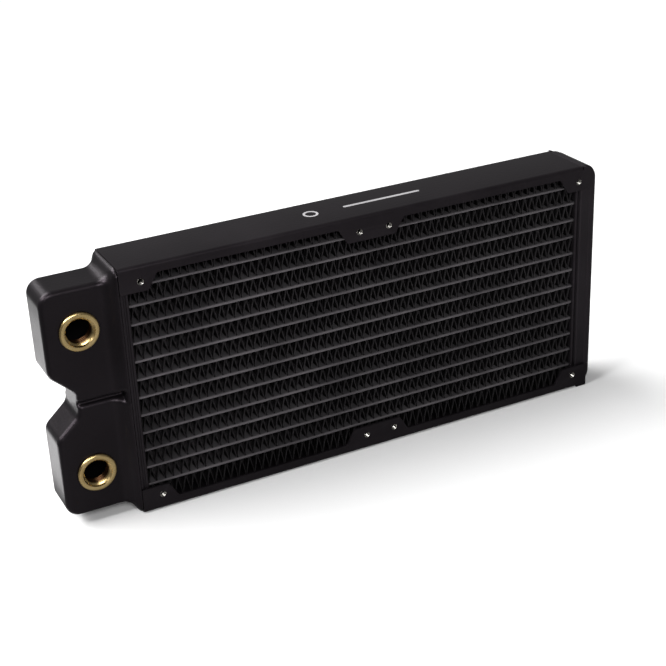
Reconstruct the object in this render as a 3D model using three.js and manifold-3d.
// Two-fan liquid cooling radiator: a soldered core of flat tubes and corrugated fins between a
// port tank with two ears and a plain return tank, held by two channel-shaped side plates.
// Millimetres. X runs along the length (ports at -X), the ports face -Y, Z is up.
// The origin is the middle of the bottom face, with the radiator standing on its lower side plate.
import * as THREE from 'three';
import { mergeVertices } from 'three/addons/utils/BufferGeometryUtils.js';
import Module from 'manifold-3d';

const wasm = await Module();
wasm.setup();

// Overall
const LENGTH = 280;
const THICKNESS = 30;
const HEIGHT = 120;
const MID_Z = HEIGHT / 2;
const SHEET = 1.2;
const GAP = 0.3;

// Fan fixing: each fan has its four screws on a square, and the fans stand side by side
const FAN_SCREW_SQUARE = 105;
const FAN_CENTRES_X = [-44, 76];
const SCREW_HOLE_R = 1.5;
const SCREW_FROM_EDGE = (HEIGHT - FAN_SCREW_SQUARE) / 2;

// Stations along X
const PORT_END = -LENGTH / 2;
const RETURN_END = LENGTH / 2;
const PLATE_START = -106.1;
const PLATE_END = 130.9;
const FLANGE_END = 136.9;
const PORT_HEADER_X = -102;
const RETURN_HEADER_X = 129.3;
const CORE_START = -101;
const CORE_END = 129;

// Port tank
const EAR_HALF_HEIGHT = 54.5;
const EAR_HALF_THICKNESS = 10.5;
const EAR_CORNER_R = 6.5;
const NOTCH_MOUTH = { x: PORT_END, z: 15.5 };
const NOTCH_BOTTOM = { x: -129, z: 5.5 };
const NOTCH_R = 5.5;
const FLARE_START = -114.4;
const FLARE_R = 6.5;
const TANK_RIM = PLATE_START - GAP;
const GROOVE_DEPTH = 1.5;
const GROOVE_HALF_WIDTH = 1.9;

// Ports, threaded G1/4: the bore is the thread's minor diameter
const PORT_X = -124.3;
const PORT_OFFSET_Z = 34.5;
const PORT_BORE_R = 5.75;
const COLLAR_R = 9;
const COLLAR_HEIGHT = 1.5;
const SPIGOT_R = 7.6;
const SPIGOT_DEPTH = 5.5;
const ROUND_SIDES = 24;
const NOSE_STEPS = 4;

// Return tank
const RETURN_HALF_THICKNESS = THICKNESS / 2 - SHEET - GAP;
const RETURN_CORNER_R = 7.5;
const RETURN_EDGE_R = 1.5;
const RETURN_HEADER_HALF_Y = RETURN_HALF_THICKNESS - SHEET - GAP;
const RETURN_OVERLAP = 2;

// Core
const TUBE_COUNT = 12;
const TUBE_PITCH = 8.868;
const TUBE_THICKNESS = 1.8;
const TUBE_DEPTH = 20.6;
const TUBE_WALL = 0.4;
const TUBE_PAST_HEADER = 1.8;
const FIN_DEPTH = 19.6;
const FIN_SHEET = 0.5;
const FIN_WAVES = 22;

// Side plates
const LIP_HEIGHT = 4;
const TAB_HEIGHT = 12;
const TAB_SLANT = 4.5;
const TAB_BEFORE_HOLE = 6.2;
const TAB_AFTER_HOLE = 3.3;
const PLATE_HALF_Z = HEIGHT / 2 - SHEET - GAP;

const paint = (color, roughness) => new THREE.MeshStandardMaterial({ color, roughness, metalness: 0.1 });
const shellPaint = paint(0x1d1d20, 0.42);
const platePaint = paint(0x1b1b1e, 0.45);
const tubePaint = paint(0x2b2b2f, 0.5);
const finPaint = paint(0x151517, 0.6);
const brass = new THREE.MeshStandardMaterial({ color: 0xcfae6b, roughness: 0.28, metalness: 1 });

const radiator = new THREE.Group();

// ---- solids ----

function toSolid(geometry) {
  const bare = geometry.clone();
  bare.deleteAttribute('normal');
  bare.deleteAttribute('uv');
  const merged = mergeVertices(bare, 1e-4);
  const vertProperties = new Float32Array(merged.attributes.position.array);
  const triVerts = new Uint32Array(merged.index.array);
  return new wasm.Manifold(new wasm.Mesh({ numProp: 3, vertProperties, triVerts }));
}

function toGeometry(solid) {
  const mesh = solid.getMesh();
  const geometry = new THREE.BufferGeometry();
  geometry.setAttribute('position', new THREE.BufferAttribute(mesh.vertProperties, 3));
  geometry.setIndex(new THREE.BufferAttribute(mesh.triVerts, 1));
  return geometry;
}

function place(name, geometry, material) {
  const mesh = new THREE.Mesh(geometry, material);
  mesh.name = name;
  radiator.add(mesh);
  return mesh;
}

// A prism over an outline drawn in the XY, XZ or YZ plane, from one level to another along the
// third axis
const PLANES = {
  xy: new THREE.Matrix4(),
  xz: new THREE.Matrix4().makeRotationX(Math.PI / 2),
  yz: new THREE.Matrix4().makeBasis(
    new THREE.Vector3(0, 1, 0),
    new THREE.Vector3(0, 0, 1),
    new THREE.Vector3(1, 0, 0),
  ),
};

function prism(plane, outline, from, to, holes = []) {
  const shape = outline instanceof THREE.Shape ? outline : new THREE.Shape(outline);
  shape.holes.push(...holes);
  const options = { depth: to - from, bevelEnabled: false, curveSegments: NOSE_STEPS };
  const geometry = new THREE.ExtrudeGeometry(shape, options);
  geometry.translate(0, 0, plane === 'xz' ? -to : from);
  return geometry.applyMatrix4(PLANES[plane]);
}

function solidPrism(plane, outline, from, to, holes) {
  return toSolid(prism(plane, outline, from, to, holes));
}

function block(x0, x1, y0, y1, z0, z1) {
  const geometry = new THREE.BoxGeometry(x1 - x0, y1 - y0, z1 - z0);
  return toSolid(geometry.translate((x0 + x1) / 2, (y0 + y1) / 2, (z0 + z1) / 2));
}

function pinAlongY(x, z, radius, from, to, sides) {
  const geometry = new THREE.CylinderGeometry(radius, radius, to - from, sides);
  return toSolid(geometry.translate(x, (from + to) / 2, z));
}

// ---- outlines ----

// Rounds the corners of a polygon: each corner is [x, y] or [x, y, radius]
function rounded(corners, steps = 4) {
  const points = [];
  corners.forEach(([x, y, radius = 0], i) => {
    const corner = new THREE.Vector2(x, y);
    if (radius === 0) {
      points.push(corner);
      return;
    }
    const before = corners[(i + corners.length - 1) % corners.length];
    const after = corners[(i + 1) % corners.length];
    const back = new THREE.Vector2(before[0] - x, before[1] - y).normalize();
    const ahead = new THREE.Vector2(after[0] - x, after[1] - y).normalize();
    const half = Math.acos(back.dot(ahead)) / 2;
    const middle = back.clone().add(ahead).normalize();
    const centre = corner.clone().addScaledVector(middle, radius / Math.sin(half));
    const start = corner.clone().addScaledVector(back, radius / Math.tan(half)).sub(centre);
    const turn = Math.PI - 2 * half;
    const sign = Math.sign(start.y * back.x - start.x * back.y);
    for (let k = 0; k <= steps; k += 1) {
      points.push(start.clone().rotateAround(new THREE.Vector2(), (sign * turn * k) / steps).add(centre));
    }
  });
  return points;
}

// The concave flare from a tank's straight wall out to its rim, from the wall towards the rim
function flare(half, rimHalf, inset, steps = 5) {
  const radius = FLARE_R + inset;
  const end = Math.acos((half + FLARE_R - rimHalf + inset) / radius);
  const points = [];
  for (let k = 0; k <= steps; k += 1) {
    const angle = (end * k) / steps;
    points.push([FLARE_START + radius * Math.sin(angle), half + FLARE_R - radius * Math.cos(angle)]);
  }
  return points;
}

function mirrored(points) {
  return points.map(([a, b, radius]) => [a, -b, radius]).reverse();
}

// ---- port tank ----

// The tank's front outline about the radiator's middle height, drawn in from the outside by inset
function earOutline(inset, openEnd) {
  const slope = Math.atan2(NOTCH_MOUTH.z - NOTCH_BOTTOM.z, NOTCH_BOTTOM.x - NOTCH_MOUTH.x);
  const shift = (inset * (1 - Math.sin(slope))) / Math.cos(slope);
  const upper = [
    [openEnd, HEIGHT / 2 - inset],
    ...flare(EAR_HALF_HEIGHT, HEIGHT / 2, inset).reverse(),
    [PORT_END + inset, EAR_HALF_HEIGHT - inset, EAR_CORNER_R - inset],
    [NOTCH_MOUTH.x + inset, NOTCH_MOUTH.z + shift, NOTCH_R - inset],
    [NOTCH_BOTTOM.x + inset, NOTCH_BOTTOM.z + shift, NOTCH_R + inset],
  ];
  return rounded([...upper, ...mirrored(upper)]);
}

// The tank's outline seen from above
function earPlan(inset, openEnd) {
  const side = [
    [openEnd, THICKNESS / 2 - inset],
    ...flare(EAR_HALF_THICKNESS, THICKNESS / 2, inset).reverse(),
    [PORT_END + inset, EAR_HALF_THICKNESS - inset, 3 - inset],
  ];
  return rounded([...side, ...mirrored(side)]);
}

function tankBody(inset, openEnd) {
  const front = solidPrism('xz', earOutline(inset, openEnd), -THICKNESS, THICKNESS).translate([0, 0, MID_Z]);
  const plan = solidPrism('xy', earPlan(inset, openEnd), 0, HEIGHT);
  return front.intersect(plan);
}

// A groove pressed into the front and back between the ears, and the ridge it makes inside
function grooves() {
  const bottom = EAR_HALF_THICKNESS - GROOVE_DEPTH;
  const slot = [
    [bottom, -GROOVE_HALF_WIDTH / 2],
    [THICKNESS, -GROOVE_HALF_WIDTH * 3],
    [THICKNESS, GROOVE_HALF_WIDTH * 3],
    [bottom, GROOVE_HALF_WIDTH / 2],
  ];
  const outline = slot.map(([y, z]) => new THREE.Vector2(y, z));
  const back = solidPrism('yz', outline, PORT_END, FLARE_START).translate([0, 0, MID_Z]);
  return back.add(back.rotate([180, 0, 0]).translate([0, 0, HEIGHT]));
}

function ridges() {
  const inner = EAR_HALF_THICKNESS - GROOVE_DEPTH - SHEET - 0.2;
  const half = GROOVE_HALF_WIDTH + SHEET;
  const back = block(PORT_END, PLATE_START + 1, inner, THICKNESS, MID_Z - half, MID_Z + half);
  const front = block(PORT_END, PLATE_START + 1, -THICKNESS, -inner, MID_Z - half, MID_Z + half);
  return back.add(front);
}

function portTankShell() {
  const outside = tankBody(0, TANK_RIM).subtract(grooves());
  const inside = tankBody(SHEET, PLATE_START + 1).subtract(ridges());
  let shell = outside.subtract(inside);
  for (const side of [-1, 1]) {
    const z = MID_Z + side * PORT_OFFSET_Z;
    shell = shell.subtract(pinAlongY(PORT_X, z, SPIGOT_R + GAP, -THICKNESS, 0, ROUND_SIDES));
  }
  return toGeometry(shell);
}

// A plate across the port tank that keeps the two flow passes apart
function chamberDivider() {
  const narrow = EAR_HALF_THICKNESS - GROOVE_DEPTH - SHEET - 0.2 - GAP;
  const wide = THICKNESS / 2 - SHEET - GAP - SHEET - GAP;
  const start = NOTCH_BOTTOM.x + SHEET + GAP;
  const headerFace = PORT_HEADER_X - SHEET - GAP;
  const side = [
    [start, narrow],
    [PLATE_START + GAP, narrow],
    [PLATE_START + GAP, wide],
    [headerFace, wide],
  ];
  const outline = rounded([...side, ...mirrored(side)]);
  return prism('xy', outline, MID_Z - SHEET / 2, MID_Z + SHEET / 2);
}

// A threaded port collar: a flange on the tank's face and a spigot through it
function portCollar(z) {
  const face = -EAR_HALF_THICKNESS - GAP;
  const outer = face - COLLAR_HEIGHT + GAP;
  const chamfer = 0.7;
  const profile = [
    [PORT_BORE_R + chamfer, -outer],
    [COLLAR_R - 0.5, -outer],
    [COLLAR_R, -outer - 0.5],
    [COLLAR_R, -face],
    [SPIGOT_R, -face],
    [SPIGOT_R, -face - SPIGOT_DEPTH],
    [PORT_BORE_R, -face - SPIGOT_DEPTH],
    [PORT_BORE_R, -outer - chamfer],
    [PORT_BORE_R + chamfer, -outer],
  ].map(([r, y]) => new THREE.Vector2(r, y)).reverse();
  const geometry = new THREE.LatheGeometry(profile, ROUND_SIDES);
  return geometry.rotateZ(Math.PI).translate(PORT_X, 0, z);
}

// ---- headers ----

const tubeLevels = Array.from({ length: TUBE_COUNT }, (_, i) => {
  return MID_Z + (i - (TUBE_COUNT - 1) / 2) * TUBE_PITCH;
});

// The section of a flat tube with round noses, at a level, grown by an amount
function tubeOutline(z, grow) {
  const radius = TUBE_THICKNESS / 2 + grow;
  const straight = TUBE_DEPTH / 2 - TUBE_THICKNESS / 2;
  const outline = new THREE.Path();
  outline.absarc(straight, z, radius, -Math.PI / 2, Math.PI / 2);
  outline.absarc(-straight, z, radius, Math.PI / 2, (3 * Math.PI) / 2);
  return outline;
}

function rectangle(halfY, z0, z1) {
  return [[-halfY, z0], [halfY, z0], [halfY, z1], [-halfY, z1]].map(([y, z]) => new THREE.Vector2(y, z));
}

// A tray with a slot for each tube: its floor faces the core and its rim reaches into the tank
function headerTray(halfY, floorFrom, floorTo, rimFrom, rimTo) {
  const low = MID_Z - PLATE_HALF_Z;
  const high = MID_Z + PLATE_HALF_Z;
  const slots = tubeLevels.map((z) => tubeOutline(z, GAP));
  const floor = solidPrism('yz', rectangle(halfY, low, high), floorFrom, floorTo, slots);
  const opening = new THREE.Path(rectangle(halfY - SHEET, low + SHEET, high - SHEET));
  const rim = solidPrism('yz', rectangle(halfY, low, high), rimFrom, rimTo, [opening]);
  return toGeometry(floor.add(rim));
}

// ---- return tank ----

function panBody(inset, openEnd) {
  const half = HEIGHT / 2 - inset;
  const end = RETURN_END - inset;
  const side = [[openEnd, half], [end, half, RETURN_CORNER_R - inset]];
  const front = solidPrism('xz', rounded([...side, ...mirrored(side)]), -THICKNESS, THICKNESS);
  const halfY = RETURN_HALF_THICKNESS - inset;
  const planSide = [[openEnd, halfY], [end, halfY, RETURN_EDGE_R - inset]];
  const plan = solidPrism('xy', rounded([...planSide, ...mirrored(planSide)]), 0, HEIGHT);
  return front.translate([0, 0, MID_Z]).intersect(plan);
}

function returnTankShell() {
  const mouth = PLATE_END + GAP;
  return toGeometry(panBody(0, mouth).subtract(panBody(SHEET, mouth - 1)));
}

// ---- side plates ----

// One flange of the upper side plate: a low lip with a slant-sided tab at each screw column
function flange(from, to, endRadius) {
  const lip = HEIGHT - LIP_HEIGHT;
  const tip = HEIGHT - TAB_HEIGHT;
  const half = FAN_SCREW_SQUARE / 2;
  const [firstFan, secondFan] = FAN_CENTRES_X;
  const startSide = (x) => [[x - TAB_SLANT, HEIGHT], [x - TAB_SLANT, lip], [x, tip, 1.5]];
  const endSide = (x) => [[x, tip, 1.5], [x + TAB_SLANT, lip], [x + TAB_SLANT, HEIGHT]];
  const firstTab = [[PLATE_START, HEIGHT], [PLATE_START, tip, 1], ...endSide(firstFan - half + TAB_AFTER_HOLE)];
  const middleTab = [
    ...startSide(firstFan + half - TAB_BEFORE_HOLE),
    ...endSide(secondFan - half + TAB_AFTER_HOLE),
  ];
  const lastTab = [
    ...startSide(secondFan + half - TAB_BEFORE_HOLE),
    [FLANGE_END, tip, 1],
    [FLANGE_END, HEIGHT, endRadius],
  ];
  let metal = block(PLATE_START, secondFan + half, from, to, lip, HEIGHT - SHEET / 2);
  for (const tab of [firstTab, middleTab, lastTab]) {
    metal = metal.add(solidPrism('xz', rounded(tab, 3), from, to));
  }
  return metal;
}

function screwHoles(z) {
  const holes = [];
  for (const centre of FAN_CENTRES_X) {
    for (const side of [-1, 1]) {
      const x = centre + (side * FAN_SCREW_SQUARE) / 2;
      holes.push(pinAlongY(x, z, SCREW_HOLE_R, -THICKNESS, THICKNESS, 12));
    }
  }
  return holes;
}

// The upper plate; the lower one is the same channel turned over, with a square flange end
function sidePlate(endRadius) {
  const half = THICKNESS / 2;
  const web = block(PLATE_START, PLATE_END, -half, half, HEIGHT - SHEET, HEIGHT);
  const front = flange(-half, -half + SHEET, endRadius);
  const back = flange(half - SHEET, half, endRadius);
  let plate = web.add(front).add(back);
  for (const hole of screwHoles(HEIGHT - SCREW_FROM_EDGE)) {
    plate = plate.subtract(hole);
  }
  return plate;
}

// ---- core ----

function tube(z) {
  const outline = tubeOutline(z, 0);
  const bore = tubeOutline(z, -TUBE_WALL);
  const start = PORT_HEADER_X - SHEET - TUBE_PAST_HEADER;
  const end = RETURN_HEADER_X + SHEET + TUBE_PAST_HEADER;
  return prism('yz', new THREE.Shape(outline.getPoints(NOSE_STEPS)), start, end, [bore]);
}

// A strip folded into a zigzag that fills the height between two levels
function finStrip(low, high) {
  const step = (CORE_END - CORE_START) / (2 * FIN_WAVES);
  const lean = Math.atan2(high - low - FIN_SHEET, step);
  const rise = FIN_SHEET / Math.cos(lean);
  const lower = [];
  const upper = [];
  for (let i = 0; i <= 2 * FIN_WAVES; i += 1) {
    const x = CORE_START + i * step;
    const crest = i % 2 === 1;
    lower.push(new THREE.Vector2(x, crest ? high - rise : low));
    upper.unshift(new THREE.Vector2(x, crest ? high : low + rise));
  }
  return prism('xz', [...lower, ...upper], -FIN_DEPTH / 2, FIN_DEPTH / 2);
}

function finLevels() {
  const low = SHEET + GAP;
  const high = HEIGHT - SHEET - GAP;
  const half = TUBE_THICKNESS / 2 + GAP;
  const floors = [low, ...tubeLevels.map((z) => z + half)];
  const ceilings = [...tubeLevels.map((z) => z - half), high];
  return floors.map((floor, i) => [floor, ceilings[i]]);
}

// ---- the radiator ----

place('port_tank_shell', portTankShell(), shellPaint);
place('chamber_divider', chamberDivider(), shellPaint);
place('inlet_collar', portCollar(MID_Z + PORT_OFFSET_Z), brass);
place('outlet_collar', portCollar(MID_Z - PORT_OFFSET_Z), brass);

const portFloor = PORT_HEADER_X - SHEET;
place(
  'port_header_plate',
  headerTray(RETURN_HALF_THICKNESS, portFloor, PORT_HEADER_X, PLATE_START, portFloor),
  shellPaint,
);
const returnFloor = RETURN_HEADER_X + SHEET;
place(
  'return_header_plate',
  headerTray(RETURN_HEADER_HALF_Y, RETURN_HEADER_X, returnFloor, returnFloor, PLATE_END + GAP + RETURN_OVERLAP),
  shellPaint,
);
place('return_tank_shell', returnTankShell(), shellPaint);

place('side_plate_top', toGeometry(sidePlate(RETURN_CORNER_R)), platePaint);
const lowerPlate = sidePlate(0).rotate([180, 0, 0]).translate([0, 0, HEIGHT]);
place('side_plate_bottom', toGeometry(lowerPlate), platePaint);

const numbered = (name, i) => `${name}_${String(i + 1).padStart(2, '0')}`;
tubeLevels.forEach((z, i) => place(numbered('tube', i), tube(z), tubePaint));
finLevels().forEach(([low, high], i) => place(numbered('fin_strip', i), finStrip(low, high), finPaint));

export default radiator;
